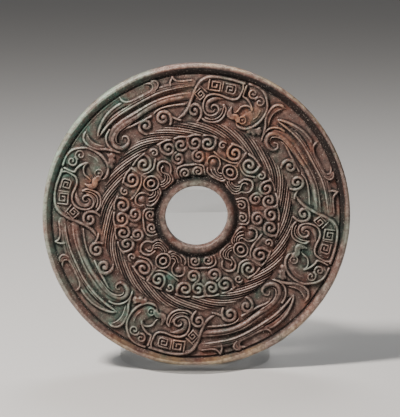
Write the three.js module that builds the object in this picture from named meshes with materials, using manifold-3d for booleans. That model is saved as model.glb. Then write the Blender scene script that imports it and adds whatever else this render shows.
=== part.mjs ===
// Carved jade bi disc standing in a clear acrylic column.
// Millimetres, +Z up. The carved face looks along -Y; the origin is the middle of the
// column's foot. Angles on the disc are degrees, clockwise from the top as its face is seen.
import * as THREE from 'three';
import Module from 'manifold-3d';
import { mergeVertices } from 'three/addons/utils/BufferGeometryUtils.js';

const wasm = await Module();
wasm.setup();

// ---- driving dimensions -------------------------------------------------------------
const DISC_RADIUS = 100;
const HOLE_RADIUS = 20.2;
const DISC_THICKNESS = 10;
const GROUND = 3.2;                // height of the cut-down ground above the middle plane
const REPEATS = 4;                 // the carving repeats every quarter turn
const RIM_INNER = 94.2;            // foot of the round rim bead
const ROPE_INNER = 54.3;           // rope ring between the two carved zones
const ROPE_OUTER = 62.5;
const ROPE_STRANDS = 20;
const STRAND_CROSSING = 25;        // degrees that a strand takes to cross the ring
const COLLAR_OUTER = 26.7;         // raised collar round the hole
const COLLAR_LIP = 0.7;            // small slope at the mouth of the hole
const EDGE_ROUND = 1;              // rounding of the disc's outer edge
const STAND_RADIUS = 50;           // 100 mm acrylic rod
const STAND_HEIGHT = 104;
const WALL_AHEAD = 31.2;           // flat wall behind the disc, ahead of the rod's axis
const LIP_HEIGHT = 5;              // low lip left in front of the disc
const FLOOR_CLEARANCE = 3;         // lowest point of the disc above the floor
const CONTACT_GAP = 0.3;           // between stone and acrylic

// ---- derived places -----------------------------------------------------------------
const HALF = DISC_THICKNESS / 2;
const DISC_Y = -(WALL_AHEAD + CONTACT_GAP + HALF);
const DISC_Z = FLOOR_CLEARANCE + DISC_RADIUS;
const QUARTER = 360 / REPEATS;
const DISC_STEPS = 56;             // steps round the disc's rings

const rad = THREE.MathUtils.degToRad;
const polar = ([angle, radius]) => new THREE.Vector2(
  radius * Math.sin(rad(angle)), radius * Math.cos(rad(angle)));

// ---- solids: from three.js geometry to manifold-3d and back ---------------------------
function toManifold(geometry) {
  const bare = geometry.clone();
  bare.deleteAttribute('normal');
  bare.deleteAttribute('uv');
  const merged = mergeVertices(bare, 1e-4);
  return new wasm.Manifold(new wasm.Mesh({
    numProp: 3,
    vertProperties: new Float32Array(merged.attributes.position.array),
    triVerts: new Uint32Array(merged.index.array),
  }));
}

function fromManifold(solid) {
  const { vertProperties, triVerts } = solid.getMesh();
  const geometry = new THREE.BufferGeometry();
  geometry.setAttribute('position', new THREE.BufferAttribute(vertProperties, 3));
  geometry.setIndex(new THREE.BufferAttribute(triVerts, 1));
  return geometry;
}

// ---- the plain turned disc ------------------------------------------------------------
// Rim bead, flat ground, collar and hole; the back has the same profile without carving.
function turnedDisc() {
  const rimMiddle = (RIM_INNER + DISC_RADIUS) / 2;
  const edge = DISC_RADIUS - EDGE_ROUND;
  const front = [
    [HOLE_RADIUS, HALF - COLLAR_LIP], [HOLE_RADIUS + COLLAR_LIP, HALF], [COLLAR_OUTER, GROUND],
    [RIM_INNER, GROUND], [RIM_INNER + 0.5 * EDGE_ROUND, GROUND + 0.7 * (HALF - GROUND)], [rimMiddle, HALF],
    [edge, HALF - EDGE_ROUND], [DISC_RADIUS, HALF - 2.5 * EDGE_ROUND],
  ];
  const back = [
    [DISC_RADIUS, 2.5 * EDGE_ROUND - HALF], [edge, EDGE_ROUND - HALF], [rimMiddle, -HALF],
    [RIM_INNER, -GROUND], [COLLAR_OUTER, -GROUND], [HOLE_RADIUS, 0.5 * COLLAR_LIP - HALF],
  ];
  const profile = [...front, ...back, front[0]].map(([x, y]) => new THREE.Vector2(x, y));
  return toManifold(new THREE.LatheGeometry(profile.reverse(), DISC_STEPS).rotateX(Math.PI));
}

// ---- strokes of the carving -------------------------------------------------------------
// Each stroke is a solid that stands on the ground; its flanks run on a little below it.
const ROOT = 0.35;                 // depth of a stroke's root below the ground

// Walks a smooth curve through the places and stops where it has turned or run far enough.
function stations(points, longest = 14, sharpest = rad(55)) {
  const places = points.map((p) => new THREE.Vector3(p.x, p.y, 0));
  const curve = new THREE.CatmullRomCurve3(places, false, 'centripetal');
  const length = curve.getLength();
  const steps = Math.ceil(length / 0.4);
  const path = curve.getSpacedPoints(steps).map((p) => new THREE.Vector2(p.x, p.y));
  const stops = [{ at: path[0], along: path[1].clone().sub(path[0]).normalize() }];
  let travelled = 0;
  for (let i = 1; i < path.length; i += 1) {
    travelled += path[i].distanceTo(path[i - 1]);
    const along = path[Math.min(i + 1, steps)].clone().sub(path[i - 1]).normalize();
    const turned = Math.acos(Math.min(1, along.dot(stops.at(-1).along)));
    const last = i === steps;
    if (last || travelled > Math.min(longest, 0.55 * length) || turned > sharpest) {
      stops.push({ at: path[i], along });
      travelled = 0;
    }
  }
  return stops;
}

// Sweeps a section of [offset, height] points, left to right, along the stations; the first
// and the last station are points at the root, so both ends run down into the ground.
function sweep(stops, section) {
  const place = (p, height) => new THREE.Vector3(p.x, -(GROUND + height), p.y);
  const rings = stops.map(({ at, along }, i) => {
    const tip = i === 0 || i === stops.length - 1;
    const right = new THREE.Vector2(along.y, -along.x);
    return section.map(([offset, height]) => (
      tip ? place(at, -ROOT) : place(at.clone().addScaledVector(right, offset), height)));
  });
  const positions = [];
  const add = (...corners) => corners.forEach((p) => positions.push(p.x, p.y, p.z));
  for (let i = 1; i < rings.length; i += 1) {
    section.forEach((unused, k) => {
      const next = (k + 1) % section.length;
      const [a, b, c, d] = [rings[i - 1][k], rings[i - 1][next], rings[i][next], rings[i][k]];
      if (i > 1) add(a, b, c);                                // a tip takes one triangle a side
      if (i === 1 || i < rings.length - 1) add(a, c, d);
    });
  }
  const geometry = new THREE.BufferGeometry();
  geometry.setAttribute('position', new THREE.Float32BufferAttribute(positions, 3));
  return toManifold(geometry);
}

// A rounded ridge, three-sided like a carver's bevelled line.
function ridge(places, half = 1.2, height = 1.35) {
  const root = half * (1 + ROOT / height);
  return sweep(stations(places.map(polar)), [[-root, -ROOT], [0, height], [root, -ROOT]]);
}

// A flat-topped band with bevelled sides.
function band(places, half, height = 0.85, bevel = 0.8) {
  const root = half + bevel * ROOT / height;
  return sweep(stations(places.map(polar), 11),
    [[-root, -ROOT], [bevel - half, height], [half - bevel, height], [root, -ROOT]]);
}

// A curl winds inwards from `start` (degrees clockwise from straight out) by `turns`;
// a positive number of turns winds clockwise. A lead carries its outer end to a place.
function curl(centre, size, start, turns, lead = null, half = 0.95, height = 1.25) {
  const middle = polar(centre);
  const count = Math.ceil(Math.abs(turns) * 12);
  const points = Array.from({ length: count + 1 }, (unused, i) => {
    const reach = size * (1 - 0.74 * i / count);
    const turn = rad(centre[0] + start + 360 * turns * i / count);
    return new THREE.Vector2(Math.sin(turn), Math.cos(turn)).multiplyScalar(reach).add(middle);
  });
  if (lead) points.unshift(polar(lead));
  const root = half * (1 + ROOT / height);
  return sweep(stations(points, 9, rad(64)), [[-root, -ROOT], [0, height], [root, -ROOT]]);
}

// A low round boss.
function boss(centre, size, height = 1.3) {
  const { x, y } = polar(centre);
  const knob = new THREE.ConeGeometry(1.2 * size, height + ROOT, 6);
  return toManifold(knob.rotateX(Math.PI).translate(x, -(GROUND + (height - ROOT) / 2), y));
}

// ---- outer zone: one creature in each quarter, its head right of the upright edge --------
function creature() {
  const bodyAndTails = [
    // upright back edge, from the rim down to the rope
    ridge([[19.5, 92.6], [13, 92.9], [7, 92.3], [3, 89.8], [0.7, 86], [-1.5, 79.5], [-4, 72.5],
      [-6.8, 68.8], [-11.5, 66.2]], 1.4, 1.5),
    // frame of the panel, and the trunk that winds up below it
    ridge([[18.8, 91], [19, 86], [16.8, 81.6], [11.5, 81], [7, 79.9], [4.9, 76.4], [5.2, 71.6], [8, 68.4],
      [11.2, 69.6], [11.6, 73], [9, 74.2]], 1.4, 1.5),
    ridge([[14.6, 77.2], [15.8, 71.5], [13.4, 65.6], [8.6, 63.9], [3.4, 65.6]]),
    curl([-0.4, 70.6], 4.5, 175, -1.2),
    // crescent horn behind the head
    ridge([[39.4, 91], [36.4, 90.2], [34.5, 86.4], [34.7, 81], [36.4, 75.4], [38.6, 69.5], [39.5, 66]],
      1.4, 1.4),
    // upper tail: a pointed band with a ridge along its lower edge
    band([[41, 85.2], [45, 86.6], [52, 87], [62, 87], [74, 87.1], [86, 87.2]], 2.9, 0.85),
    ridge([[38.8, 83.2], [43, 83.6], [54, 83.7], [66, 83.8], [78, 84], [87.3, 84.3]], 1.2, 1.45),
    // lower tail: a band that ends in a great hook
    band([[86, 78.3], [74, 78.4], [62, 78.4], [50, 78.5], [44.6, 78]], 2.0, 0.75),
    ridge([[85, 75.6], [74, 75.9], [62, 76], [50, 76.7], [45, 76.6], [41.6, 73.8], [40.7, 69.6],
      [42.3, 65.6], [46.6, 64.6], [49.4, 67.2], [48.2, 69.8]], 1.5, 1.45),
    ridge([[56.6, 72], [50, 73.2], [45.6, 73], [44, 70]], 1, 1.2),
    // two hanging spirals
    ridge([[60.8, 63.7], [57.6, 66.4], [57.2, 71.6], [60.8, 74.4], [63.8, 71.8], [62.8, 68.5],
      [60.2, 69.4]]),
    ridge([[84, 72], [77, 72.5], [70.8, 72.9], [67.4, 70.4], [68.2, 66.8], [71.8, 66.8], [72.3, 69.8],
      [69.9, 70.2]]),
    ridge([[74, 70.9], [76.4, 67.5], [79.4, 65]], 0.9, 1.2),
  ];
  const head = [
    ridge([[21.6, 92.7], [26, 93], [30.4, 90.2], [32.6, 84.5], [32.8, 77], [30.2, 69], [26, 66],
      [22, 66.6]], 1.35, 1.45),
    ridge([[21.4, 91.6], [21.8, 85.2], [25.2, 82.7], [27.3, 77.8]]),
    ridge([[20.6, 73.6], [21.8, 78], [25, 79.6], [27, 76.5]], 1.1, 1.25),
    curl([25.6, 88.4], 3.1, 150, 1.0, null, 0.9, 1.2),
    ridge([[28.4, 89.8], [30.6, 86], [29.4, 82.7], [27.5, 83.9]], 0.95, 1.2),
    boss([25.3, 70.6], 2.6),
    ridge([[15.4, 75], [16.2, 69.4], [20.8, 68]], 1, 1.15),
    ridge([[16.9, 74.6], [18, 71.4], [21, 70.6]], 0.85, 1.1),
  ];
  const claws = [[32.2, 65.2], [35.2, 67]].map((centre) => boss(centre, 1.6, 1.1));
  const crests = [61.5, 72, 81].map((angle) => ridge(         // wave crests along the upper tail
    [[angle - 3.6, 90.2], [angle, 92.4], [angle + 1.9, 91.4]], 1.5, 1.3));
  return [...bodyAndTails, ...head, ...claws, ...crests];
}

// ---- inner zone: curls in pairs, and a mask-like group on the quarter's own axis -----------
function curlField() {
  const edge = ROPE_INNER - 0.8;
  const outerRow = [
    curl([8.8, 48.3], 4.1, 35, 1.15, [15, edge]),
    curl([31, 48.4], 4.3, -35, -1.15, [24.5, edge]),
    curl([45.5, 48.6], 4.3, 35, 1.15, [51.5, edge]),
    curl([67.9, 48.6], 4.1, -35, -1.15, [61.5, edge]),
    curl([78.2, 48.5], 3.9, 35, 1.15, [84, edge]),
    curl([89, 48.5], 3.9, -35, -1.15, [83.4, edge]),
    boss([19.7, 48.9], 2.2),
    boss([56.5, 49.2], 2.2),
  ];
  const middleRow = [
    curl([2.3, 39.6], 3.9, -20, -1.15), curl([17.9, 37.4], 3.7, 20, -1.1), curl([36.4, 36.7], 3.6, 0, -1.1),
    curl([57.5, 38.1], 3.8, -20, 1.1), curl([73.4, 39.8], 3.9, -10, -1.15),
  ];
  const innerRow = [
    curl([2, 29.8], 2.5, -120, 0.9), curl([75.3, 29.8], 2.5, -120, 0.9), boss([43.8, 32.4], 1.5, 1.1),
  ];
  const stems = [
    ridge([[37.8, 53], [38.4, 48], [38.8, 42.6]], 1, 1.25),
    ridge([[38.7, 42.2], [31, 41.4], [20.5, 41.6]], 0.95, 1.1),
    ridge([[38.9, 42.2], [47, 41], [56, 42.6]], 0.95, 1.1),
    ridge([[42, 30.6], [48.6, 32.6], [49, 37.4], [43, 40.8]], 0.95, 1.1),
    ridge([[66.4, 28.4], [68.3, 33.8], [76, 35.2], [86, 34.8], [97, 34.2], [101, 28]], 1, 1.15),
  ];
  const plumes = [-1, 1].flatMap((side) => [0, 1].map((k) => ridge(
    [[38.7 + side * (23 - 6 * k), 33.4], [38.7 + side * (16.5 - 6 * k), 27.8]], 0.9, 1)));
  return [...outerRow, ...middleRow, ...innerRow, ...stems, ...plumes];
}

// ---- rope: strands that slant across the ring, thin at both ends ----------------------------
function ropeStrand(index) {
  const start = index * 360 / ROPE_STRANDS;
  const stops = stations([0, 0.5, 1].map((t) => polar(
    [start + STRAND_CROSSING * (t - 0.5), THREE.MathUtils.lerp(ROPE_OUTER, ROPE_INNER, t)])), 9.2);
  const half = 2.9;
  return sweep(stops, [[-half, -ROOT], [-half * 0.4, 1.3], [half * 0.4, 1.3], [half, -ROOT]]);
}

function discGeometry() {
  const quarter = wasm.Manifold.union([...creature(), ...curlField()]);
  const turned = Array.from({ length: REPEATS }, (unused, i) => quarter.rotate([0, i * QUARTER, 0]));
  const rope = Array.from({ length: ROPE_STRANDS }, (unused, i) => ropeStrand(i));
  return fromManifold(wasm.Manifold.union([turnedDisc(), ...turned, ...rope]));
}

// ---- the clear stand ----------------------------------------------------------------------
function standGeometry() {
  const rod = new THREE.CylinderGeometry(STAND_RADIUS, STAND_RADIUS, STAND_HEIGHT, 56);
  rod.rotateX(Math.PI / 2).translate(0, 0, STAND_HEIGHT / 2);
  // slot as thick as the disc, with a round seat under its rim
  const slotDepth = DISC_THICKNESS + 2 * CONTACT_GAP;
  const slotRadius = DISC_RADIUS + CONTACT_GAP;
  const slot = new THREE.CylinderGeometry(slotRadius, slotRadius, slotDepth, 120);
  slot.translate(0, DISC_Y, DISC_Z);
  // everything ahead of the slot and above the front lip is cut away
  const front = new THREE.BoxGeometry(3 * STAND_RADIUS, STAND_RADIUS, STAND_HEIGHT);
  const slotFront = DISC_Y - slotDepth / 2;
  front.translate(0, slotFront - STAND_RADIUS / 2, LIP_HEIGHT + STAND_HEIGHT / 2);
  return fromManifold(toManifold(rod).subtract(toManifold(slot)).subtract(toManifold(front)));
}

// ---- scene graph ----------------------------------------------------------------------------
const jade = new THREE.MeshStandardMaterial({ color: 0x6b5548, roughness: 0.42, metalness: 0 });
const acrylic = new THREE.MeshStandardMaterial({
  color: 0xe6eef0, roughness: 0.05, metalness: 0, transparent: true, opacity: 0.35 });

const part = new THREE.Group();

const disc = new THREE.Mesh(discGeometry(), jade);
disc.name = 'jade_disc';
disc.position.set(0, DISC_Y, DISC_Z);
part.add(disc);

const stand = new THREE.Mesh(standGeometry(), acrylic);
stand.name = 'acrylic_stand';
part.add(stand);

export default part;
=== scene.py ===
"""Carved jade bi disc standing in the slot of a clear acrylic column.

The disc's carving is worked out here as strokes on a height map, in millimetres, on a disc
of the solid's own size. Angles on the disc are degrees, clockwise from the top as its
carved face is seen; that face looks along -Y.
"""
import math

import bmesh
import bpy
import numpy as np
from mathutils import Matrix, Vector


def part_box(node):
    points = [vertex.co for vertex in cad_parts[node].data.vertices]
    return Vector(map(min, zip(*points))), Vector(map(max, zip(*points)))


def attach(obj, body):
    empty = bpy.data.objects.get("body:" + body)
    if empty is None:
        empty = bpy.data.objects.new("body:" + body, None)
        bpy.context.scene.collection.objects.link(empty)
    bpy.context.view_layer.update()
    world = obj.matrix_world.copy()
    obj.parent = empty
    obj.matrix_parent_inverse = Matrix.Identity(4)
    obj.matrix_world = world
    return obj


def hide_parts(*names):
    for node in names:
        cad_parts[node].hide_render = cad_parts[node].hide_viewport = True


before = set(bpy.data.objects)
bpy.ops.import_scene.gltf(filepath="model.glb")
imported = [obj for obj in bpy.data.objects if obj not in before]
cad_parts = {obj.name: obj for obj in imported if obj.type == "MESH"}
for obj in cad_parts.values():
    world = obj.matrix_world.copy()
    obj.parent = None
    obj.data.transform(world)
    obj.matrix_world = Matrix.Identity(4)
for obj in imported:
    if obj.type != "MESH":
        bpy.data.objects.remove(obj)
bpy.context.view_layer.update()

MM = 0.001

# ---- sizes from the frame --------------------------------------------------------------
disc_low, disc_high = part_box("jade_disc")
stand_low, stand_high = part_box("acrylic_stand")
DISC_CENTRE = (disc_low + disc_high) / 2
DISC_RADIUS = (disc_high.x - disc_low.x) / 2 / MM
HALF = (disc_high.y - disc_low.y) / 2 / MM
STAND_RADIUS = (stand_high.x - stand_low.x) / 2 / MM
STAND_HEIGHT = stand_high.z / MM

# ---- radii and heights of the disc, in millimetres --------------------------------------
QUARTER = 90.0
HOLE = 20.2
COLLAR_OUTER = 26.7
ROPE_INNER = 54.3
ROPE_OUTER = 62.5
RIM_INNER = 94.2
GROUND = 3.2                     # height of the cut-down ground above the middle plane


def smooth(t):
    t = np.clip(t, 0.0, 1.0)
    return t * t * (3 - 2 * t)


def polar(angle, radius):
    turn = math.radians(angle)
    return np.array([radius * math.sin(turn), radius * math.cos(turn)])


# ---- strokes -----------------------------------------------------------------------------
def spline(places, spacing=0.35):
    """Centripetal Catmull-Rom through [angle, radius] places, as points in the disc's plane."""
    points = np.array([polar(a, r) for a, r in places])
    if len(points) == 2:
        points = np.array([points[0], points.mean(0), points[1]])
    ends = [2 * points[0] - points[1], *points, 2 * points[-1] - points[-2]]
    out = [points[0]]
    for p0, p1, p2, p3 in zip(ends, ends[1:], ends[2:], ends[3:]):
        steps = [max(np.linalg.norm(b - a), 1e-6) ** 0.5 for a, b in ((p0, p1), (p1, p2), (p2, p3))]
        t0, t1, t2, t3 = np.cumsum([0] + steps)
        count = max(2, int(np.linalg.norm(p2 - p1) / spacing))
        for t in np.linspace(t1, t2, count + 1)[1:]:
            a1 = (t1 - t) / (t1 - t0) * p0 + (t - t0) / (t1 - t0) * p1
            a2 = (t2 - t) / (t2 - t1) * p1 + (t - t1) / (t2 - t1) * p2
            a3 = (t3 - t) / (t3 - t2) * p2 + (t - t2) / (t3 - t2) * p3
            b1 = (t2 - t) / (t2 - t0) * a1 + (t - t0) / (t2 - t0) * a2
            b2 = (t3 - t) / (t3 - t1) * a2 + (t - t1) / (t3 - t1) * a3
            out.append((t2 - t) / (t2 - t1) * b1 + (t - t1) / (t2 - t1) * b2)
    return np.array(out)


def stroke(path, half, height, edge, kind="ridge", tip=0.0, tail=0.0):
    """A line of the carving: half its width, its height and its rounded edge in mm. Tip and tail
    are the parts of its length over which its first and last end widen."""
    path = np.asarray(path, float)
    steps = np.r_[0, np.cumsum(np.linalg.norm(np.diff(path, axis=0), axis=1))]
    along = steps / steps[-1]
    width = np.full(len(path), float(half))
    if tip:
        width *= 0.25 + 0.75 * smooth(along / tip)
    if tail:
        width *= 0.25 + 0.75 * smooth((1 - along) / tail)
    return {"path": path, "width": width, "height": height, "edge": edge, "kind": kind}


def ridge(places, half=0.8, height=1.5, tip=0.0, tail=0.1):
    return stroke(spline(places), half, height, half, tip=tip, tail=tail)


def body(places, half, height=0.9, edge=1.0, tip=0.0, tail=0.0):
    return stroke(spline(places), half, height, edge, "body", tip, tail)


def groove(places, half=0.45, depth=0.7):
    return stroke(spline(places), half, depth, half, "groove")


def boss(centre, size, height=1.4):
    p = polar(*centre)
    return stroke([p - 0.02, p + 0.02], size, height, size)


def curl(centre, size, start, turns, horn=0.0, half=1.25, height=1.65, inner=0.14, bulb=1.05):
    """Winds inwards from `start` (degrees clockwise from straight out) and ends in a round bulb.
    Positive turns are clockwise; a horn is how far its outer end stands out to a point."""
    middle = polar(*centre)
    t = np.linspace(0, 1, int(abs(turns) * 40) + 1)
    reach = size * (1 - (1 - inner) * t ** 1.6) + horn * np.exp(-9 * abs(turns) * t)
    turn = np.radians(centre[0] + start + 360 * turns * t)
    path = middle + np.stack([np.sin(turn), np.cos(turn)], 1) * reach[:, None]
    line = stroke(path, half, height, half)
    swell = 1 + (bulb - 1) * smooth((t - 0.8) / 0.15)
    taper = 1 - 0.3 * (1 - smooth(t / 0.1)) * (horn > 0)
    line["width"] = half * swell * taper
    return line


def square_curl(centre, wide, high, corners, turned=0.0, half=0.6, height=1.6):
    """A squared spiral of the thunder pattern, on a frame of the given half sizes."""
    middle = polar(*centre)
    lean = math.radians(centre[0] + turned)
    out = np.array([math.sin(lean), math.cos(lean)])
    right = np.array([math.cos(lean), -math.sin(lean)])
    path = [middle + u * wide * right + v * high * out for u, v in corners]
    fine = [a + (b - a) * t for a, b in zip(path, path[1:]) for t in np.linspace(0, 1, 9)[:-1]]
    return stroke(fine + [path[-1]], half, height, half)


FINE, LINE, FIRM, BOLD = 0.55, 0.85, 1.1, 1.3           # half widths of the outer zone's ridges


def creature():
    """One quarter of the outer zone: head, panel, trunk, horn and two tails."""
    thunder = [(-1, 1), (-1, -1), (1, -1), (1, 0.72), (-0.4, 0.72), (-0.4, -0.36), (0.42, -0.36),
               (0.42, 0.2)]
    thunder_right = [(-1, 0.9), (0.72, 0.9), (1, 0.5), (0.95, -0.7), (0.66, -1), (-0.66, -0.9),
                     (-0.66, 0.42), (0.34, 0.42), (0.38, -0.36), (-0.15, -0.36)]
    out = [
        # upright back edge and its inner border
        ridge([(19.5, 92.6), (13, 93), (8, 92.6), (4.5, 91.3), (2.2, 89), (.7, 86), (-.4, 83), (-1.5, 79.5),
               (-2.7, 76), (-4, 72.5), (-6, 69.5), (-8.5, 67.3), (-11.5, 66)], BOLD, 1.55),
        # panel of squared spirals
        body([(5.5, 87.2), (11, 87.2), (16.3, 86.8)], 4.4, 0.45, 0.8),
        body([(3.7, 86), (2.4, 82.5), (1.6, 79)], 3.0, 0.45, 0.8),
        ridge([(5, 90.2), (3, 88.8), (1.7, 86.5), (.9, 83.5)], FINE, 1.2),
        ridge([(18.8, 92.4), (19.5, 89.6), (19.3, 85.4), (18.6, 82), (16.7, 80.4), (14.1, 80.4),
               (10.9, 81.4), (7.9, 81.3), (5.2, 79.2), (3.9, 75), (4, 70.9), (5.3, 68.1), (7.6, 67),
               (10.3, 68.2), (11.7, 71), (10.9, 73.6), (9.2, 74.4), (7.9, 72.8), (8.5, 71)],
              LINE, 1.6, tail=0.08),
        square_curl((8, 87.2), 3.5, 3.2, thunder),
        ridge([(11.2, 90.4), (11.2, 84)], FINE, 1.4),
        square_curl((14.4, 87), 3.3, 3.1, thunder_right),
        square_curl((2, 80.4), 2.7, 2.7, thunder, 45),
        ridge([(2, 85.6), (5.4, 81.8)], FINE, 1.4),
        # trunk winding up below the panel into a volute with close lines round it
        body([(12.6, 79.4), (10.4, 79), (8, 77.6), (6.2, 75.4), (5.8, 72.2), (7, 69.8), (9, 69.6),
              (9.9, 71.2)], 1.7, 1.2, 1.5, tip=0.3, tail=0.3),
        ridge([(13.4, 75.4), (14.8, 73.4), (15, 70.1), (13.5, 65.2), (10.2, 62.8), (5.8, 63), (2.6, 65.6)],
              LINE, 1.5),
        ridge([(13.6, 74.6), (13.4, 69.4), (11.6, 65.8), (8.4, 64.5), (4.8, 65.4)], FINE, 1.35),
        ridge([(12.6, 72.6), (12, 69), (10, 66.5), (7.6, 65.7)], 0.4, 1.2),
        curl((-1, 69.8), 4.5, 165, -1.4, horn=2.5, half=1.15, bulb=1.3),
        # beak
        body([(22.6, 68.8), (20.8, 70.1), (18.9, 69.4), (17.3, 70.1), (16.9, 72.4), (17.1, 75.2)],
             2.1, 1.5, 0.9, tail=0.45),
        ridge([(18.2, 73), (19.9, 72.8), (20.9, 75), (21.5, 77.4), (23.4, 79.2), (25.3, 79.7), (27, 78.4),
               (27.4, 75.6)], 0.7, 1.3, tip=0.3, tail=0.2),
        # head: cheek, contour, eye, neck and the ear's two spirals
        body([(25, 90), (28.5, 88), (29.8, 82), (29.4, 76), (26.5, 70.5)], 4.6, 0.65, 1.6),
        ridge([(21.6, 93.3), (25.4, 93.2), (28.4, 91.6), (30.8, 88.2), (32.9, 83.5), (33.6, 77.1),
               (32.6, 71), (30.6, 67.2), (28.3, 65.4), (25.6, 64.7), (23.4, 65.2), (22, 66.8)], FIRM, 1.6),
        curl((24.9, 69.8), 2.4, 0, 0.98, half=0.5, height=1.55, inner=0.97, bulb=1),
        boss((24.9, 69.8), 0.95, 1.5),
        ridge([(20.6, 91.5), (20.4, 87), (20.7, 84.3), (22.4, 83.6), (24.4, 82.2), (26.2, 80.3),
               (27.9, 77.8)], LINE, 1.55),
        curl((28.5, 85.2), 3.2, -90, 1.25, half=0.8, height=1.55),
        curl((24.5, 88.2), 3.2, 100, 1.25, half=0.8, height=1.55),
        ridge([(30.6, 80.6), (30.9, 76.6), (30, 73)], FINE, 1.3),
        # claw
        boss((31.2, 65.2), 1.9, 1.5), boss((34.2, 66), 1.8, 1.5), boss((36.4, 68), 1.8, 1.5),
        body([(30.6, 66.4), (33.4, 66.8), (36.2, 69)], 1.9, 1.2),
        ridge([(30.4, 68.4), (32.6, 67.6), (34.6, 69), (35.6, 71.4)], FIRM, 1.4, 0.2, 0.2),
        # crescent horn
        body([(38.2, 90.6), (36.2, 88), (35.2, 83.5), (36, 78), (38, 72)], 1.6, 0.8, 1.0, 0.3, 0.4),
        ridge([(39, 91), (36.8, 90.8), (35, 89), (34.2, 85.5), (34.3, 81.5), (35.3, 77.5), (37, 74.3),
               (38.3, 70.5), (39.3, 66.5)], FIRM, 1.5, 0.1, 0.2),
        ridge([(38.6, 90.5), (37.4, 88.5), (36.5, 85.5), (36.3, 82), (37.1, 78), (38.2, 75)],
              FINE, 1.3, 0.2, 0.2),
        # upper tail: pointed, grooved band
        body([(41.5, 83.6), (45, 84.8), (50, 86), (56, 86.3), (62, 85.4), (70, 86), (80, 87), (88.4, 87.3)],
             2.7, 0.7, 1.3, tip=0.25),
        ridge([(39.2, 82.2), (41.3, 83.9), (43.5, 85.5), (49.2, 88.2), (54.5, 89.1), (58, 88.9)],
              FIRM, 1.45, tip=0.1),
        ridge([(39.2, 82), (44.9, 82.6), (51.6, 83.4), (57.7, 83.5), (66.4, 84), (74.5, 84.9), (82.4, 85.2),
               (88.5, 85.6)], LINE, 1.7, tip=0.08),
        ridge([(50, 84.8), (58, 85), (66, 85.5), (74.5, 86.3), (88.5, 87)], 0.45, 1.4),
        groove([(41, 83.1), (45, 84.3), (50, 85.7), (56, 86), (59, 85.3)], 0.75, 0.9),
        groove([(41, 80.6), (50, 81.2), (60, 81.2), (70, 82), (80, 82.4), (87.6, 82.6)], 1.3, 0.75),
        # a wave scooped out of its outer edge, hooked at its end, and a second crest
        ridge([(58.2, 93.3), (58.1, 91), (58.8, 88.7), (60.8, 87.2), (66.1, 86.8), (69.6, 87.2),
               (71.6, 88.7), (71.9, 90.9), (70.7, 92.5), (68.9, 93.2)], LINE, 1.25, tip=0.1, tail=0.12),
        ridge([(72.4, 87.2), (73.6, 88.4), (74.3, 90.3), (73.6, 92.6), (71.4, 93.8)], LINE, 1.5, tail=0.2),
        body([(70.6, 87), (72.8, 88.6), (73.1, 90.8), (72, 92.8)], 1.3, 1.0, 0.9),
        ridge([(79.2, 87.4), (79.3, 89.6), (80.3, 93)], LINE, 1.5, tail=0.35),
        ridge([(80.3, 93), (81, 91), (82.2, 89.6), (84.6, 89), (88.6, 89.3)], LINE, 1.45),
        ridge([(74.6, 88), (79, 87.9), (84, 87.6), (88.6, 87.6)], FINE, 1.2),
        # lower tail: broad ridge, hook and its inner line
        body([(87, 79), (76, 79.2), (66, 78.8), (52, 78), (46, 77.2), (43, 75.2)], 2.6, 0.7, 1.6),
        ridge([(45.6, 80.2), (43, 79.2), (41, 77.4), (39.6, 75), (38.9, 71.8), (39.3, 68), (40.5, 65)],
              LINE, 1.4),
        ridge([(87.6, 78.7), (75, 78.6), (66.7, 77.9), (58.5, 76.6), (52.4, 76.8), (47.2, 76.2), (43, 74.3),
               (41.3, 70.6), (42.5, 66.9), (46, 65.2), (48.9, 66.3), (49.4, 69.2), (47.8, 70.9),
               (46.2, 69.8)], 1.8, 1.65, tip=0.1, tail=0.2),
        ridge([(87.4, 80.8), (76, 80.6), (66.7, 80), (58, 78.9), (52, 79)], 0.5, 1.4, 0.1, 0.2),
        ridge([(58, 75.2), (52, 75.3), (47.8, 75.2), (44.6, 73.4), (43.2, 70.8), (44, 68.3)],
              FINE, 1.8, 0.2, 0.2),
        ridge([(66, 72.6), (60, 72.5), (55.8, 72.9), (51.6, 74), (49.6, 74), (48, 73.6)],
              LINE, 1.35, tail=0.3),
        groove([(86, 76), (74, 75.9), (64, 75.4), (56, 74)], 0.7, 0.7),
        # two hanging spirals and the lines between them
        curl((61.3, 68.4), 4.3, 200, 1.25, horn=1.8, bulb=1.4),
        curl((71.4, 68.6), 4.6, 150, -1.35, horn=1.4, bulb=1.3),
        ridge([(84, 74), (78, 74.5), (73.3, 74.9), (70, 74.5), (67.4, 73.2)], FINE, 1.3),
        ridge([(72.5, 72), (74, 71), (74.8, 69.5), (76.5, 67.3), (78.8, 65.4), (81, 64.7)], LINE, 1.35),
    ]
    return out


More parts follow.
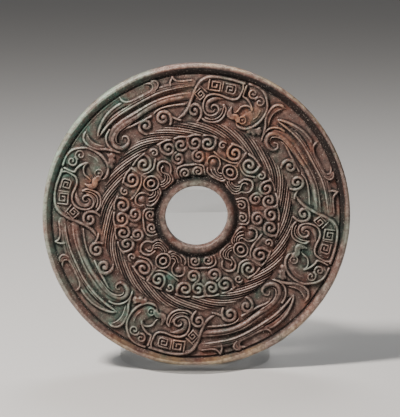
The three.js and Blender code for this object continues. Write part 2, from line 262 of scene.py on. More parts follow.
def curl_field():
    """One quarter of the inner zone: paired curls, and a mask-like group on its own axis."""
    mask = 38.4
    roof = ROPE_INNER - 0.6
    out = []
    for axis, apart, size in ((3.9, 4.9, 4.25), (mask, 7.2, 4.6), (73, 5.1, 4.25)):    # paired volutes
        ends = apart + 5.6
        for side in (-1, 1):
            out.append(curl((axis + side * apart, 48.5), size, 42 * side, 1.4 * side, horn=1.7))
            over = [(axis + side * ends, roof - 0.6), (axis + side * ends / 2, roof + 0.3),
                    (axis + side, roof - 0.2)]
            out.append(ridge(over, 0.85, 1.5))
    for side in (-1, 1):                                        # a small curl on each side of the mask
        out.append(curl((mask + side * 18.4, 49.7), 2.5, -30 * side, 1.05 * side, half=0.9))
    out += [
        curl((2.5, 40), 4.1, -20, -1.45), curl((73.3, 40.4), 4.0, -10, -1.45),
        curl((2, 30), 3.0, -120, 1.3, half=1.0), curl((76, 30), 3.0, -120, 1.3, half=1.0),
        ridge([(37.8, 53), (38.3, 49), (38.5, 45), (38.9, 42)], 1.15, 1.5),
        ridge([(37.6, 44.6), (33.7, 42.4), (28.7, 41.6), (22.6, 42), (18.2, 43), (14.4, 44.4)], 0.85, 1.4),
        ridge([(39.4, 44.6), (43.4, 42.6), (48.6, 42.2), (52, 44), (55.2, 46.2)], 0.85, 1.4),
        body([(38, 50.5), (38.5, 46), (38.8, 43)], 2.6, 0.8, 1.6),
        body([(20, 51.5), (19.6, 45), (25, 43.5)], 2.2, 0.6, 1.5),
        body([(56.5, 51.5), (57, 45.5)], 2.2, 0.6, 1.5),
        body([(83.6, 52), (83.6, 44.5), (83, 40)], 2.0, 0.6, 1.5),
        body([(10.5, 43), (11, 35)], 1.8, 0.5, 1.4),
        ridge([(66.5, 28.3), (67, 32), (70, 34.3), (76, 35), (84, 34.6), (92, 34.6), (98, 33.5), (100, 30),
               (101.5, 27.5)], 0.85, 1.4),
    ]
    out += [                                                    # the mask's ringed boss and its two plumes
        curl((36.9, 36.4), 4.8, 0, 0.98, half=0.75, height=1.5, inner=0.98, bulb=1),
        curl((36.9, 36.4), 2.1, 0, 0.98, half=0.85, height=1.6, inner=0.98, bulb=1),
        ridge([(50.2, 35.6), (50.8, 39.6), (53.9, 42), (57, 42.7), (61.2, 41.2), (63.6, 38), (62.4, 35.2),
               (59.9, 33.4), (59.8, 30.6), (57, 28.2), (51.9, 27.5), (44, 27.5), (39.2, 28.4)], 0.95, 1.6),
        ridge([(56.6, 39.4), (54.2, 38.9), (52.8, 36.9), (54.4, 35), (56.6, 33.4), (56.6, 30.9),
               (53.6, 29.2), (48.6, 28.9), (43, 29.2), (39.8, 30.3)], 0.62, 1.5),
        ridge([(55.2, 33.6), (54, 31.6), (51, 30.4), (47.2, 30.2), (43.3, 30.6), (41, 31.6)], 0.5, 1.4),
        ridge([(53.2, 34.4), (52, 32.8), (49.4, 31.7), (46.8, 31.6), (44.6, 31.9)], 0.5, 1.4),
        ridge([(37.2, 30), (35.4, 28.4), (31, 27.6), (24.4, 27.5), (17.5, 28.6), (13.4, 30.6),
               (13.2, 33.4)], 0.95, 1.6),
        ridge([(34.2, 30.2), (31, 29), (25.4, 29), (20.1, 30.1), (17, 32.6)], 0.5, 1.4),
        ridge([(31.8, 31), (28.4, 30.3), (24.3, 31.2), (20.8, 33.4)], 0.5, 1.4),
        ridge([(30.2, 32.3), (27.1, 32), (24.9, 33), (24.9, 35.2)], 0.5, 1.4),
        boss((17.9, 37.4), 2.5, 1.65),
        ridge([(25, 34.6), (25, 37.6), (21.9, 40.5), (17.4, 41.4), (12.9, 40.1), (11.3, 37.3),
               (12.9, 34.8)], 0.75, 1.5),
    ]
    return out


# ---- the height map of one quarter -----------------------------------------------------------
MAP_STEP_ANGLE = 0.125
MAP_STEP_RADIUS = 0.16
MAP_LOW, MAP_HIGH = COLLAR_OUTER - 1.0, RIM_INNER + 1.0


def turned(path, angle):
    c, s = math.cos(math.radians(angle)), math.sin(math.radians(angle))
    return np.stack([path[:, 0] * c + path[:, 1] * s, path[:, 1] * c - path[:, 0] * s], 1)


def quarter_map(strokes):
    """Relief height above the ground, on a grid of angle (one quarter) and radius."""
    angles = np.arange(0, QUARTER + 1e-6, MAP_STEP_ANGLE)
    radii = np.arange(MAP_LOW, MAP_HIGH, MAP_STEP_RADIUS)
    turn = np.radians(angles)[:, None]
    x, z = np.sin(turn) * radii, np.cos(turn) * radii
    layers = {"ridge": np.zeros_like(x), "body": np.zeros_like(x), "groove": np.zeros_like(x)}
    for item in strokes:
        layer = layers[item["kind"]]
        reach = item["width"].max() + 0.1
        for shift in (-QUARTER, 0, QUARTER):
            path = turned(item["path"], shift)
            away = np.hypot(path[:, 0], path[:, 1])
            around = np.degrees(np.arctan2(path[:, 0], path[:, 1]))
            if shift and (around.max() < -6 or around.min() > QUARTER + 6):
                continue
            for k in range(len(path) - 1):
                a, b = path[k], path[k + 1]
                margin = math.degrees(reach / away[k]) + abs(around[k + 1] - around[k])
                i0, i1 = np.searchsorted(angles, (around[k] - margin, around[k] + margin))
                near = away[k:k + 2]
                j0, j1 = np.searchsorted(radii, (near.min() - reach, near.max() + reach))
                if i0 >= i1 or j0 >= j1:
                    continue
                px, pz = x[i0:i1, j0:j1] - a[0], z[i0:i1, j0:j1] - a[1]
                d = b - a
                t = np.clip((px * d[0] + pz * d[1]) / max(d @ d, 1e-9), 0, 1)
                distance = np.hypot(px - t * d[0], pz - t * d[1])
                width = item["width"][k]
                edge = item["edge"] * width / item["width"].max()
                rise = np.clip((width - distance) / edge, 0, 1)
                lowered = min(1.0, 0.35 + 0.65 * width / item["width"].max())
                rise = item["height"] * lowered * np.sin(rise * math.pi / 2)
                np.maximum(layer[i0:i1, j0:j1], rise, out=layer[i0:i1, j0:j1])
    relief = np.maximum(layers["body"], layers["ridge"])
    shallow = np.where(layers["ridge"] > 1.0, 0.3, 1.0)         # a groove barely marks a high ridge
    return relief - shallow * layers["groove"]


def blurred(field, radius):
    """Box-blurs a height map twice, wrapping at its edges, for the broad form round each line."""
    for _ in range(2):
        for axis in (0, 1):
            total = sum(np.roll(field, k, axis) for k in range(-radius, radius + 1))
            field = total / (2 * radius + 1)
    return field


def sample(field, angle, radius):
    """Reads a quarter map at any angle and radius, by straight-line interpolation."""
    u = np.mod(angle, QUARTER) / MAP_STEP_ANGLE
    v = np.clip((radius - MAP_LOW) / MAP_STEP_RADIUS, 0, field.shape[1] - 1.001)
    i, j = u.astype(int), v.astype(int)
    fu, fv = u - i, v - j
    i2 = np.minimum(i + 1, field.shape[0] - 1)
    return ((field[i, j] * (1 - fu) + field[i2, j] * fu) * (1 - fv)
            + (field[i, j + 1] * (1 - fu) + field[i2, j + 1] * fu) * fv)


def waves(x, z, size, seed, count=14):
    """Soft random unevenness, about -1 to 1, with features about `size` mm across."""
    r = np.random.default_rng(seed)
    out = np.zeros_like(x)
    for _ in range(count):
        way = r.uniform(0, 2 * math.pi)
        rate = 2 * math.pi / (size * r.uniform(0.7, 1.6))
        out += np.cos(rate * (x * math.cos(way) + z * math.sin(way)) + r.uniform(0, 2 * math.pi))
    return out / math.sqrt(count)


CARVING = quarter_map(creature() + curl_field())
RELIEF = 0.85 * CARVING + 0.36 * blurred(CARVING, 8)      # each line rises from a soft swell
HOLLOW = blurred(CARVING, 6) - CARVING          # above 0 in the hollows, below 0 on the lines

STRANDS = 72
STRAND_LEAN = 0.326              # mm outwards for each degree round


def rope(angle, radius):
    """Half-round ring cut into fine slanting strands, deeper every fourth one: height and shade."""
    t = np.clip((radius - ROPE_INNER) / (ROPE_OUTER - ROPE_INNER), 0, 1)
    crown = np.sqrt(np.clip(1 - (2 * t - 1) ** 2, 0, 1))
    phase = np.radians(angle + (radius - ROPE_INNER) / STRAND_LEAN)
    cut = 0.6 * np.cos(STRANDS * phase) + 0.45 * np.cos(STRANDS / 4 * phase)
    return 0.85 * crown + 0.72 * cut * crown ** 0.5, 0.45 - 0.4 * crown - 1.1 * cut * crown ** 0.3


RIM_CREST = 98.3


def rim_bead(radius):
    """The rim's height above the ground: a long rounded slope up to its crest, then the edge."""
    rise = np.clip((radius - RIM_INNER) / (RIM_CREST - RIM_INNER), 0, 1)
    fall = np.clip((radius - RIM_CREST) / (DISC_RADIUS - RIM_CREST), 0, 1)
    rounding = 2.2 * (1 - np.sqrt(1 - fall ** 2))
    return (HALF - GROUND + 0.2) * np.sin(rise * math.pi / 2) ** 0.6 - 0.2 - rounding


def framed(height, radius, bead):
    """Sets the sloping collar and the rim round a face, and keeps it inside the disc's thickness."""
    slope = (COLLAR_OUTER + 0.2 - radius) / (COLLAR_OUTER - HOLE - 0.9)
    collar = (HALF - 0.1 - GROUND) * smooth(slope) ** 0.8
    height = height + np.where(radius < COLLAR_OUTER + 0.2, collar, 0)
    height = np.where(radius > RIM_INNER, GROUND + bead, height)
    return np.minimum(height, HALF - 0.01)


def front_height(angle, radius):
    """Height of the carved face above the middle plane, in mm, and its shade: above 0 in the hollows,
    and as painted shade on the rim's inner slope and the collar's outer slope; below 0 on the lines,
    on the rim's edge, which is partly worn and partly painted highlight, and as painted highlight
    over the rim's lower right and at the hole's lip."""
    turn = np.radians(angle)
    x, z = radius * np.sin(turn), radius * np.cos(turn)
    warped_angle = angle + np.degrees(0.45 * waves(x, z, 34, 1) / radius)
    warped_radius = radius + 0.35 * waves(x, z, 30, 2)
    relief = sample(RELIEF, warped_angle, warped_radius)
    hollow = sample(HOLLOW, warped_angle, warped_radius)
    depth = 1 + 0.10 * waves(x, z, 24, 3)
    in_rope = smooth((radius - ROPE_INNER + 0.3) / 0.8) * smooth((ROPE_OUTER + 0.3 - radius) / 0.8)
    carved = smooth((radius - COLLAR_OUTER) / 0.8) * smooth((RIM_INNER + 0.4 - radius) / 0.8) * (1 - in_rope)
    ground = GROUND + 0.05 * waves(x, z, 12, 4)
    bead = rim_bead(radius + 0.12 * waves(x, z, 16, 5))
    gutter = 0.4 * np.exp(-((radius - RIM_INNER + 0.3) / 0.6) ** 2)
    gutter = gutter + 0.4 * np.exp(-((radius - COLLAR_OUTER - 0.4) / 0.7) ** 2)
    twist, twist_shade = rope(warped_angle, warped_radius)
    lip = 0.45 * np.exp(-((radius - RIM_INNER + 1.5) / 0.45) ** 2) * smooth(0.6 + waves(x, z, 45, 6))
    height = ground - gutter + carved * np.maximum(relief * depth * 0.98, lip) + in_rope * twist
    painted_shade_upper_right = smooth((x + z) / 110 - 0.2)                         # painted shade: the rim's inner slope darker at its upper right, which faces away from the light
    painted_highlight_lower_right = smooth((x - 0.6 * z) / 90 - 0.35)                  # painted highlight: the rim's lower right, pale right across where its slope faces the light
    # painted shade down the rim's inner slope all round, stronger at its upper right
    slope = smooth((radius - RIM_INNER) / 0.6) * smooth((RIM_CREST - 0.2 - radius) / 0.8)
    # a pale band along the rim's edge, partly wear and partly painted highlight, wider where the light falls
    worn_edge_and_painted_highlight = smooth((radius - RIM_CREST + 1.0 - 0.9 * painted_shade_upper_right + 2.2 * painted_highlight_lower_right) / 0.5)
    # painted light on the collar: a painted highlight at the hole's lip, painted shade down its outer slope
    collar_painted_light = np.where(radius < COLLAR_OUTER + 0.2, 0.75 * smooth((radius - HOLE - 1.5) / 4.0) - 0.3, 0)
    shade = carved * hollow + in_rope * twist_shade + 1.3 * gutter
    shade = shade + (0.08 + 0.4 * painted_shade_upper_right) * slope - 0.5 * worn_edge_and_painted_highlight + collar_painted_light
    return framed(height, radius, bead), shade


BOSS_FIELD_LOW, BOSS_FIELD_HIGH = 28.5, 90.5                # the back's field of small bosses, in mm
BOSS_FIRST_ROW, BOSS_ROW_STEP = 33, 6.4
BOSS_SPACING, BOSS_RADIUS = 7.2, 2.3


def back_height(angle, radius):
    """Height and shade of the plainer back: the same rim and collar, and rows of small bosses."""
    turn = np.radians(angle)
    x, z = radius * np.sin(turn), radius * np.cos(turn)
    row = np.round((radius - BOSS_FIRST_ROW) / BOSS_ROW_STEP)
    count = np.maximum(6, np.round(2 * math.pi * (BOSS_FIRST_ROW + BOSS_ROW_STEP * row) / BOSS_SPACING))
    offset = np.mod(angle / 360 * count + 0.5 * row, 1) - 0.5
    across = offset * 2 * math.pi * radius / count
    outwards = radius - BOSS_FIRST_ROW - BOSS_ROW_STEP * row
    knob = np.clip(1 - (across ** 2 + outwards ** 2) / BOSS_RADIUS ** 2, 0, 1)
    field = smooth((radius - BOSS_FIELD_LOW) / 0.5) * smooth((BOSS_FIELD_HIGH - radius) / 0.5)
    height = GROUND + 0.04 * waves(x, z, 14, 7) + field * knob ** 0.8
    # paler bosses, and a pale rim edge that is partly wear and partly painted highlight, as on the front; a
    # painted highlight at the hole's lip
    shade = 0.3 - field * knob ** 0.8 - 0.5 * smooth((radius - RIM_CREST + 1.5) / 1.5)
    return framed(height, radius, rim_bead(radius)), shade - 0.5 * (radius < HOLE + 2.5)


# ---- the disc's mesh ----------------------------------------------------------------------------
FRONT_COLUMNS, BACK_COLUMNS = 1440, 720                     # the front has two for each of the back's
FRONT_STEP, BACK_STEP = 0.40, 0.75                          # mm between rows where it is carved
DISC_TRIANGLES = 190_000


def ring_rows(step):
    """Radii from the hole's lip to the outer edge: fine where it is carved."""
    lip = HOLE + np.array([0.05, 0.2, 0.45, 0.8])
    collar = np.arange(HOLE + 1.3, COLLAR_OUTER - 0.4, 0.9)
    carved = np.arange(COLLAR_OUTER - 0.4, RIM_INNER + 0.6, step)
    twisted = carved[(carved > ROPE_INNER) & (carved < ROPE_OUTER)] + step / 2
    slope = np.linspace(RIM_INNER + 0.7, RIM_CREST, 7)
    edge = RIM_CREST + (DISC_RADIUS - RIM_CREST) * np.sin(np.radians((15, 30, 45, 60, 75, 88)))
    return np.sort(np.concatenate([lip, collar, carved, twisted, slope, edge]))


def face_grid(step, columns, height_at, side):
    """Points of one face, a row for each radius from the hole outwards; side is -1 in front."""
    radii = ring_rows(step)
    angle = np.arange(columns) * 360 / columns
    a, r = np.meshgrid(angle, radii, indexing="xy")
    height, _ = height_at(a, r)
    lip = np.clip((r - HOLE) / 0.8, 0, 1)
    height = height - 0.7 * (1 - np.sqrt(1 - (1 - lip) ** 2)) * (r < HOLE + 0.8)
    turn = np.radians(a)
    return np.stack([r * np.sin(turn), side * height, r * np.cos(turn)], -1)


def build_disc():
    """One closed stone: carved front, plainer back, rounded edge and the wall of the hole."""
    front = face_grid(FRONT_STEP, FRONT_COLUMNS, front_height, -1)
    back = face_grid(BACK_STEP, BACK_COLUMNS, back_height, 1)
    verts = [front.reshape(-1, 3), back.reshape(-1, 3)]
    faces = []
    start = len(verts[0])

    def quads(base, rows, columns, flip):
        i, j = np.meshgrid(np.arange(rows - 1), np.arange(columns), indexing="ij")
        k = (j + 1) % columns
        quad = np.stack([base + i * columns + j, base + i * columns + k,
                         base + (i + 1) * columns + k, base + (i + 1) * columns + j], -1).reshape(-1, 4)
        return quad[:, ::-1] if flip else quad

    faces += quads(0, front.shape[0], FRONT_COLUMNS, False).tolist()
    faces += quads(start, back.shape[0], BACK_COLUMNS, True).tolist()

    def zip_rings(fine, coarse, outer):
        """Joins a ring of the front's points to one of the back's, which has half as many."""
        for k in range(BACK_COLUMNS):
            a, b, c = (fine + (2 * k + n) % FRONT_COLUMNS for n in (0, 1, 2))
            d, e = coarse + k, coarse + (k + 1) % BACK_COLUMNS
            for tri in ((a, b, d), (b, e, d), (b, c, e)):
                faces.append(tri if outer else tri[::-1])

    zip_rings((front.shape[0] - 1) * FRONT_COLUMNS, start + (back.shape[0] - 1) * BACK_COLUMNS, True)
    zip_rings(0, start, False)
    mesh = bpy.data.meshes.new("jade_disc_carved")
    points = np.concatenate(verts) * MM + np.array(DISC_CENTRE)
    mesh.from_pydata(points.tolist(), [], faces)
    mesh.validate()
    disc = bpy.data.objects.new("jade_bi_disc", mesh)
    bpy.context.scene.collection.objects.link(disc)
    return disc


def applied(obj):
    """Replaces the object's mesh by the result of its modifiers, without the empty material slot
    that a cutter leaves."""
    depsgraph = bpy.context.evaluated_depsgraph_get()
    result = bpy.data.meshes.new_from_object(obj.evaluated_get(depsgraph))
    obj.modifiers.clear()
    result.materials.clear()
    obj.data = result
    return obj


def thin_out(obj, triangles):
    """Keeps the fine mesh where the carving is and opens it up where the stone is plain."""
    thinning = obj.modifiers.new("thin", "DECIMATE")
    count = sum(len(p.vertices) - 2 for p in obj.data.polygons)
    thinning.ratio = triangles / count
    return applied(obj)


def shade_smooth(obj):
    obj.data.polygons.foreach_set("use_smooth", np.ones(len(obj.data.polygons), bool))
    obj.data.update()


def disc_places(mesh):
    """Each vertex in mm from the disc's middle, with its angle and its radius."""
    co = np.empty(len(mesh.vertices) * 3)
    mesh.vertices.foreach_get("co", co)
    co = (co.reshape(-1, 3) - np.array(DISC_CENTRE)) / MM
    angle = np.degrees(np.arctan2(co[:, 0], co[:, 2])) % 360
    return co, angle, np.hypot(co[:, 0], co[:, 2])


def attribute(mesh, name, values):
    layer = mesh.attributes.new(name, "FLOAT", "POINT")
    layer.data.foreach_set("value", np.asarray(values, np.float32))


def patches(x, z, places):
    """Soft spots at [angle, radius, size, strength] places, torn at their edges."""
    out = np.zeros_like(x)
    tear = 0.35 * waves(x, z, 9, 31) + 0.25 * waves(x, z, 4, 32)
    for angle, radius, size, strength in places:
        p = polar(angle, radius)
        distance = np.hypot(x - p[0], z - p[1]) / size
        out = np.maximum(out, strength * smooth(1.25 - distance + 0.5 * tear))
    return out


def paint_disc(disc):
    """Writes what the finish needs: each place's shade, and where the stone has altered."""
    mesh = disc.data
    co, angle, radius = disc_places(mesh)
    x, z = co[:, 0], co[:, 2]
    # the shade holds painted shade on the rim's inner slope and the collar's outer slope, and painted
    # highlight along the rim's edge, over its lower right and at the hole's lip
    hollow = np.where(co[:, 1] < 0, front_height(angle, radius)[1], back_height(angle, radius)[1])
    attribute(mesh, "hollow", hollow)
    green = [(-68, 97, 20, 1), (-52, 98, 16, 1), (-36, 98, 14, 1), (-22, 98, 10, .7), (-85, 97, 14, .8),
             (-102, 96, 12, .7), (-118, 96, 10, .5), (-32, 89, 9, .7), (-48, 84, 8, .6), (-140, 78, 15, .8),
             (-125, 82, 12, .7), (-150, 84, 10, .5), (-110, 78, 10, .5), (180, 46, 9, .6), (165, 50, 8, .6),
             (140, 47, 7, .5), (46, 44, 7, .6), (55, 47, 6, .6), (85, 78, 12, .7), (76, 70, 8, .5),
             (95, 90, 12, .6), (96, 98, 12, .6), (108, 72, 9, .7), (114, 80, 8, .6), (118, 90, 8, .4),
             (20, 90, 5, .4), (30, 78, 6, .5), (-63, 75, 7, .5), (-70, 84, 7, .5), (-42, 44, 7, .5),
             (-50, 50, 6, .4), (0, 24, 9, .4), (205, 74, 10, .4), (62, 66, 8, .4), (203, 45, 6, 1),
             (200, 47, 5, .9), (205, 70, 7, .9), (212, 47, 6, .6), (244, 76, 9, .7), (228, 79, 9, .8),
             (232, 72, 7, .8), (249, 82, 8, .6), (-25, 80, 7, .5), (-78, 88, 7, .5), (66, 43, 5, .6)]
    rust = [(25, 72, 8, 1), (29, 78, 6, .9), (22, 88, 5, .6), (43, 78, 8, .8), (52, 78, 6, .7),
            (62, 79, 6, .5), (27, 46, 8, .8), (12, 40, 7, .6), (40, 42, 5, .6), (-4, 83, 9, .5),
            (-14, 78, 9, .5), (-60, 42, 7, .6), (-75, 46, 6, .5), (-72, 72, 7, .7), (8, 84, 8, .5),
            (-95, 48, 6, .4), (-98, 62, 7, .4), (130, 92, 7, .4), (188, 84, 8, .4), (36, 92, 8, .4)]
    cream = [(16, 99, 8, .8), (28, 99, 9, 1), (40, 99, 9, .9), (52, 99, 9, .7), (66, 99, 8, .6),
             (172, 98, 13, 1), (190, 98, 13, 1), (158, 98, 10, .8), (-150, 98, 10, .7), (5, 99.5, 8, .5),
             (140, 99, 10, .6), (82, 99, 9, .6), (98, 99, 9, .5), (114, 99, 9, .6), (128, 99, 9, .6)]
    # painted highlight: on the rim's lower part the cream reaches down its inner slope, which faces up to
    # the light
    painted_highlight_low_rim = smooth((-z - 60) / 25)
    rim_only = smooth((radius - RIM_CREST - 0.6 + 4.5 * painted_highlight_low_rim) / 0.6)
    attribute(mesh, "green", patches(x, z, green))
    attribute(mesh, "rust", patches(x, z, rust))
    attribute(mesh, "cream", patches(x, z, cream) * rim_only)


# ---- materials -----------------------------------------------------------------------------------
def srgb(code):
    """'#rrggbb' to linear red, green, blue, alpha."""
    channels = [int(code[i:i + 2], 16) / 255 for i in (1, 3, 5)]
    return (*[c / 12.92 if c <= 0.04045 else ((c + 0.055) / 1.055) ** 2.4 for c in channels], 1.0)


def add(tree, kind, settings=None, **links):
    """Adds a node. Links give values or (node, output) pairs, by the socket's name or as i and its
    number. The setting "stops" holds a colour ramp's positions and colours."""
    node = tree.nodes.new(kind)
    for name, value in (settings or {}).items():
        if name == "stops":
            elements = node.color_ramp.elements
            elements.remove(elements[1])
            elements[0].position, elements[0].color = value[0]
            for position, colour in value[1:]:
                elements.new(position).color = colour
        else:
            setattr(node, name, value)
    for name, value in links.items():
        numbered = name[0] == "i" and name[1:].isdigit()
        socket = node.inputs[int(name[1:])] if numbered else node.inputs[name.replace("_", " ")]
        if isinstance(value, tuple) and hasattr(value[0], "outputs"):
            tree.links.new(value[0].outputs[value[1]], socket)
        else:
            socket.default_value = value
    return node


def new_material(name):
    material = bpy.data.materials.new(name)
    material.use_nodes = True
    material.node_tree.nodes.clear()
    return material, material.node_tree


BLACK, WHITE = (0, 0, 0, 1), (1, 1, 1, 1)
BLEND = {"data_type": "RGBA"}    # settings of a Mix node: factor i0, colours i6 and i7, result 2
CLOUD_SIZE, MOTTLE_SIZE = 14 * MM, 3.2 * MM                 # patches and mottling of the altered stone
GRAIN_SIZE, GLINT_SIZE = 0.9 * MM, 0.7 * MM                 # coarser than the real grain, so that it shows; the second sizes the painted glints


def jade_material():
    """Nephrite jade, carved, hand-polished and browned by burial: a soft waxy gleam on pale worn ridges,
    dull and near-black in the hollows, clouds of green, rust and cream, and pale flecks that are painted
    glints. The shade it reads also holds painted shade and painted highlight on the rim and the collar."""
    material, tree = new_material("nephrite_jade_burial_patina")
    where = (add(tree, "ShaderNodeTexCoord"), "Object")
    # the shade: darker in the hollows, paler on the lines, with painted shade and painted highlight on the
    # rim and collar
    shade = add(tree, "ShaderNodeAttribute", {"attribute_name": "hollow"})
    depth = add(tree, "ShaderNodeMapRange", None, Value=(shade, "Fac"), i1=-0.75, i2=0.6)
    cloud, mottle, fine, glint_noise = (
        add(tree, "ShaderNodeTexNoise", None, Vector=where, Scale=1 / size, Detail=detail, Roughness=rough)
        for size, detail, rough in ((CLOUD_SIZE, 5.0, 0.6), (MOTTLE_SIZE, 5.0, 0.65),
                                    (GRAIN_SIZE, 4.0, 0.7), (GLINT_SIZE, 2.0, 0.5)))

    browned = add(tree, "ShaderNodeValToRGB", {"stops": [
        (0.34, srgb("#231915")), (0.46, srgb("#44332d")), (0.55, srgb("#614e46")),
        (0.66, srgb("#877266"))]}, Fac=(mottle, "Fac"))
    tint = add(tree, "ShaderNodeValToRGB", {"stops": [
        (0.31, srgb("#2f5145")), (0.41, srgb("#574a43")), (0.55, srgb("#66473f")),
        (0.68, srgb("#743d29"))]}, Fac=(cloud, "Fac"))
    base = add(tree, "ShaderNodeMix", BLEND, i0=0.5, i6=(browned, 0), i7=(tint, 0))
    worn_and_painted_highlight = add(tree, "ShaderNodeValToRGB", {"stops": [
        (0.36, srgb("#8d7468")), (0.5, srgb("#b59f92")), (0.64, srgb("#dccbbd"))]}, Fac=(fine, "Fac"))
    recess = add(tree, "ShaderNodeValToRGB", {"stops": [
        (0.36, srgb("#0a0706")), (0.62, srgb("#20120d"))]}, Fac=(cloud, "Fac"))

    uneven = add(tree, "ShaderNodeMath", {"operation": "MULTIPLY_ADD"}, i0=(mottle, "Fac"), i1=-0.9, i2=0.45)
    crest = add(tree, "ShaderNodeMath", {"operation": "ADD"}, i0=(depth, 0), i1=(uneven, 0))
    # pale on the crests: worn ridges, and painted highlight along the rim's edge, over its lower right and
    # at the hole's lip
    on_crest = add(tree, "ShaderNodeValToRGB", {"stops": [(0.10, WHITE), (0.44, BLACK)]}, Fac=(crest, 0))
    # near-black in the hollows and gutters, and as painted shade on the rim's inner slope and the collar's
    # outer slope
    in_recess = add(tree, "ShaderNodeValToRGB", {"stops": [(0.54, BLACK), (0.80, WHITE)]}, Fac=(depth, 0))
    hollows_and_painted_shade = add(tree, "ShaderNodeMix", BLEND, i0=(in_recess, 0), i6=(base, 2), i7=(recess, 0))
    softened = add(tree, "ShaderNodeMix", BLEND, i0=0.62, i6=(worn_and_painted_highlight, 0), i7=(base, 2))
    colour = add(tree, "ShaderNodeMix", BLEND, i0=(on_crest, 0), i6=(hollows_and_painted_shade, 2), i7=(softened, 2))

    torn = add(tree, "ShaderNodeMath", {"operation": "MULTIPLY_ADD"}, i0=(mottle, "Fac"), i1=3.0, i2=-0.8)
    # clouds of altered stone; the cream widened over the lower rim stands as a painted highlight
    for name, strength, high, middle, low in (("green", 0.9, "#93a999", "#42685b", "#0d2721"),
                                              ("rust", 0.55, "#c98a55", "#96502c", "#2f120a"),
                                              ("cream", 0.7, "#c2ae86", "#927850", "#3c2a18")):
        spot = add(tree, "ShaderNodeAttribute", {"attribute_name": name})
        whole = add(tree, "ShaderNodeMath", {"operation": "MULTIPLY"}, i0=(spot, "Fac"), i1=strength)
        amount = add(tree, "ShaderNodeMath", {"operation": "MULTIPLY", "use_clamp": True},
                     i0=(whole, 0), i1=(torn, 0))
        tone = add(tree, "ShaderNodeValToRGB", {"stops": [
            (0.15, srgb(high)), (0.5, srgb(middle)), (0.8, srgb(low))]}, Fac=(depth, 0))
        colour = add(tree, "ShaderNodeMix", BLEND, i0=(amount, 0), i6=(colour, 2), i7=(tone, 0))
    # painted glints: small pale flecks that stand in for the sparkle of light on the stone
    painted_glints = add(tree, "ShaderNodeValToRGB", {"stops": [
        (0.63, BLACK), (0.73, (0.45, 0.45, 0.45, 1))]}, Fac=(glint_noise, "Fac"))
    colour = add(tree, "ShaderNodeMix", BLEND, i0=(painted_glints, 0), i6=(colour, 2), i7=srgb("#cbbcae"))

    polish = add(tree, "ShaderNodeMapRange", None, Value=(fine, "Fac"), i1=0.35, i2=0.65, i3=0.24, i4=0.5)
    dirt = add(tree, "ShaderNodeMapRange", None, Value=(depth, 0), i1=0.35, i2=0.62, i3=0.2, i4=0.9)
    rough = add(tree, "ShaderNodeMath", {"operation": "MAXIMUM"}, i0=(polish, 0), i1=(dirt, 0))
    pits = add(tree, "ShaderNodeBump", None, Strength=0.8, Distance=0.3 * MM, Height=(fine, "Fac"))
    bump = add(tree, "ShaderNodeBump", None, Strength=0.6, Distance=0.6 * MM, Height=(mottle, "Fac"),
               Normal=(pits, 0))
    stone = add(tree, "ShaderNodeBsdfPrincipled", None, Base_Color=(colour, 2), Roughness=(rough, 0),
                IOR=1.61, Normal=(bump, 0), Specular_IOR_Level=0.3)
    add(tree, "ShaderNodeOutputMaterial", None, Surface=(stone, "BSDF"))
    return material


def acrylic_material():
    """Cast acrylic, turned and flame-polished: clear, glossy and a little brighter at its edges.
    The alpha below 1 keeps it pale, because refraction alone leaves the rod dark."""
    material, tree = new_material("clear_cast_acrylic")
    clear = add(tree, "ShaderNodeBsdfPrincipled", None, Base_Color=srgb("#f4f8f8"), Roughness=0.02,
                IOR=1.49, Transmission_Weight=1.0, Alpha=0.45)
    add(tree, "ShaderNodeOutputMaterial", None, Surface=(clear, "BSDF"))
    return material


def paper_material():
    """Matt pale paper under the object: even and without any gleam."""
    material, tree = new_material("matt_pale_paper")
    paper = add(tree, "ShaderNodeBsdfPrincipled", None, Base_Color=srgb("#bfbebc"), Roughness=0.9)
    add(tree, "ShaderNodeOutputMaterial", None, Surface=(paper, "BSDF"))
    return material


# ---- the clear stand -----------------------------------------------------------------------------
LIP_HEIGHT = 5.0
SEAT_CLEARANCE = 0.3
CUT_OVERLAP = 0.01               # so that the two cuts meet and leave no skin between them
ROD_SIDES, SLOT_SIDES = 256, 512


def linked(name, fill):
    """A new object in the scene, its mesh filled by a function that is handed a bmesh."""
    mesh = bpy.data.meshes.new(name)
    bm = bmesh.new()
    fill(bm)
    bmesh.ops.recalc_face_normals(bm, faces=bm.faces)
    bm.to_mesh(mesh)
    bm.free()
    obj = bpy.data.objects.new(name, mesh)
    bpy.context.scene.collection.objects.link(obj)
    return obj


def drum(radius, length, segments, middle, upright=True):
    """Fills a bmesh with a drum, its axis along Z or along Y; sizes in mm, middle in metres."""
    def fill(bm):
        bmesh.ops.create_cone(bm, cap_ends=True, segments=segments, radius1=radius * MM, radius2=radius * MM,
                              depth=length * MM)
        if not upright:
            bmesh.ops.rotate(bm, verts=bm.verts, matrix=Matrix.Rotation(math.pi / 2, 3, "X"))
        bmesh.ops.translate(bm, verts=bm.verts, vec=middle)
    return fill


def block(low, high):
    """Fills a bmesh with a box between two corners in mm."""
    def fill(bm):
        bmesh.ops.create_cube(bm, size=1)
        bmesh.ops.scale(bm, verts=bm.verts, vec=(Vector(high) - Vector(low)) * MM)
        bmesh.ops.translate(bm, verts=bm.verts, vec=(Vector(high) + Vector(low)) / 2 * MM)
    return fill


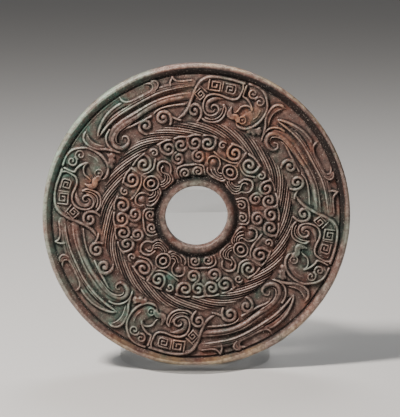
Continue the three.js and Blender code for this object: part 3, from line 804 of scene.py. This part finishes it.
def build_stand():
    """A rod with a slot for the disc, cut away in front down to a low lip."""
    slot_half = HALF + SEAT_CLEARANCE
    face = DISC_CENTRE.y / MM - slot_half
    wide = 2 * STAND_RADIUS
    middle = Vector((0, 0, STAND_HEIGHT / 2)) * MM
    seat = DISC_RADIUS + SEAT_CLEARANCE
    front_low = (-wide, face - wide, LIP_HEIGHT)
    front_high = (wide, face + CUT_OVERLAP, 2 * STAND_HEIGHT)
    rod = linked("clear_acrylic_column", drum(STAND_RADIUS, STAND_HEIGHT, ROD_SIDES, middle))
    cutters = [
        linked("slot", drum(seat, 2 * slot_half, SLOT_SIDES, DISC_CENTRE, upright=False)),
        linked("front", block(front_low, front_high)),
    ]
    for cutter in cutters:
        cut = rod.modifiers.new("cut", "BOOLEAN")
        cut.operation, cut.object, cut.solver = "DIFFERENCE", cutter, "MANIFOLD"
    applied(rod)
    for cutter in cutters:
        bpy.data.objects.remove(cutter)
    shade_smooth(rod)
    rod.data.set_sharp_from_angle(angle=math.radians(35))
    return rod


# ---- stage, light and camera -----------------------------------------------------------------------
FLOOR_HALF = 3.0                 # metres from its middle to its edge


def build_stage():
    bm = bmesh.new()
    bmesh.ops.create_grid(bm, x_segments=1, y_segments=1, size=FLOOR_HALF)
    mesh = bpy.data.meshes.new("floor")
    bm.to_mesh(mesh)
    bm.free()
    floor = bpy.data.objects.new("pale_floor", mesh)
    bpy.context.scene.collection.objects.link(floor)
    mesh.materials.append(paper_material())


def soft_light(name, place, aim, size, power, colour="#ffffff"):
    lamp = bpy.data.lights.new(name, "AREA")
    lamp.shape, lamp.size, lamp.energy = "DISK", size, power
    lamp.color = srgb(colour)[:3]
    obj = bpy.data.objects.new(name, lamp)
    obj.location = place
    obj.rotation_euler = (Vector(aim) - Vector(place)).to_track_quat("-Z", "Y").to_euler()
    bpy.context.scene.collection.objects.link(obj)


def build_light():
    world = bpy.data.worlds.new("studio")
    world.use_nodes = True
    background = world.node_tree.nodes["Background"]
    background.inputs["Color"].default_value = srgb("#dfe2e6")
    background.inputs["Strength"].default_value = 0.12
    bpy.context.scene.world = world
    middle = tuple(DISC_CENTRE)
    soft_light("key_upper_left", (-0.55, -0.46, 0.98), middle, 0.2, 29.0, "#fff8f2")
    soft_light("fill_right", (0.9, -0.9, 0.35), middle, 0.8, 1.2, "#eef3ff")
    soft_light("top_back", (0.1, 0.5, 0.9), middle, 0.5, 5.0)


CAMERA_AZIMUTH, CAMERA_ELEVATION, CAMERA_DISTANCE = -1.5, 11.0, 1.9
DISC_SHARE = 0.770               # of the view's width that the disc takes
AIM_RIGHT, AIM_UP = 2.2, 5.3     # mm from the disc's face middle to the view's middle
SENSOR_WIDTH = 36.0


def build_camera():
    """Looks down on the upright disc from a distance, with a long lens."""
    turn, rise = math.radians(CAMERA_AZIMUTH), math.radians(CAMERA_ELEVATION)
    back = Vector((math.sin(turn) * math.cos(rise), -math.cos(turn) * math.cos(rise), math.sin(rise)))
    right = Vector((math.cos(turn), math.sin(turn), 0))
    up = back.cross(right)
    face = DISC_CENTRE - Vector((0, 0.8 * HALF * MM, 0))
    aim = face + right * AIM_RIGHT * MM + up * AIM_UP * MM
    data = bpy.data.cameras.new("camera")
    seen_width = 2 * DISC_RADIUS * MM / DISC_SHARE
    data.sensor_fit, data.sensor_width = "HORIZONTAL", SENSOR_WIDTH
    data.lens = SENSOR_WIDTH * CAMERA_DISTANCE / seen_width
    camera = bpy.data.objects.new("camera", data)
    camera.location = aim + back * CAMERA_DISTANCE
    camera.rotation_euler = (-back).to_track_quat("-Z", "Y").to_euler()
    bpy.context.scene.collection.objects.link(camera)
    bpy.context.scene.camera = camera


# ---- putting it together -----------------------------------------------------------------------------
build_camera()
build_stage()
build_light()

disc = thin_out(build_disc(), DISC_TRIANGLES)
shade_smooth(disc)
paint_disc(disc)
disc.data.materials.append(jade_material())
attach(disc, "root")
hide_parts("jade_disc")

stand = build_stand()
stand.data.materials.append(acrylic_material())
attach(stand, "root")
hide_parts("acrylic_stand")
